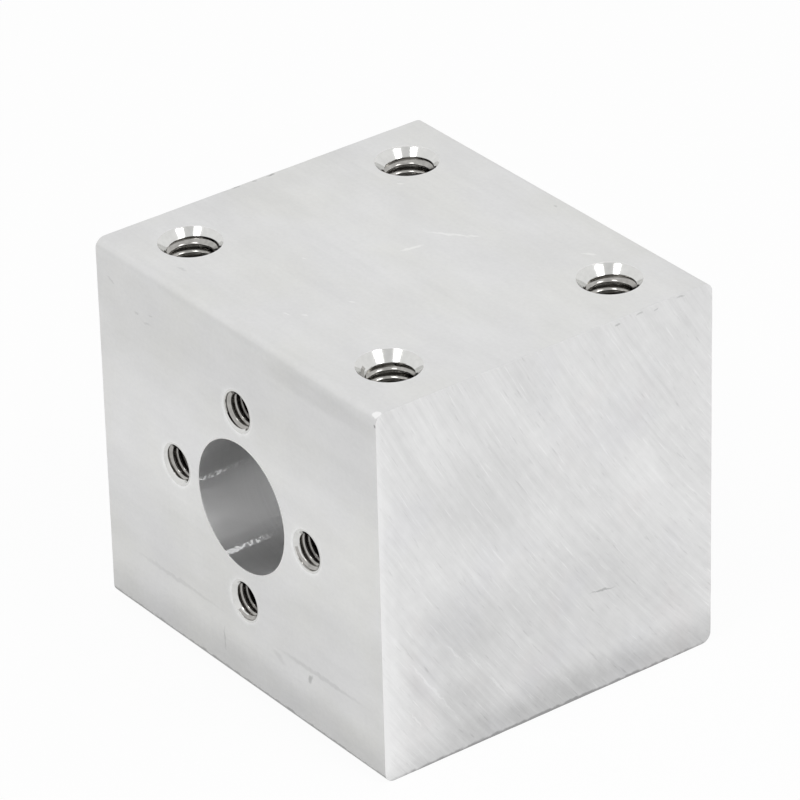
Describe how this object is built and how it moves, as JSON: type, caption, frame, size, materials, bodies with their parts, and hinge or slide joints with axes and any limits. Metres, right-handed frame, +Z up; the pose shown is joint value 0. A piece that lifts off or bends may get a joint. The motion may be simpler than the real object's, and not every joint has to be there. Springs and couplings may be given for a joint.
{
  "type": "lead screw nut housing",
  "caption": "Machined aluminium block that holds a flanged lead screw nut in a through bore, with tapped holes for the nut and for a carriage plate.",
  "frame": {"origin": "where the lead screw's axis meets the face that the nut's flange seats on", "axes": "+Y along the screw into the block, +Z up towards the tapped carriage face, X along the extruded bar from one sawn end to the other"},
  "size_m": [0.034, 0.0305, 0.0305],
  "materials": {
    "aluminium": "matte extruded and saw-cut aluminium, uncoated"
  },
  "bodies": {
    "root": {"housing": "aluminium"}
  },
  "joints": []
}
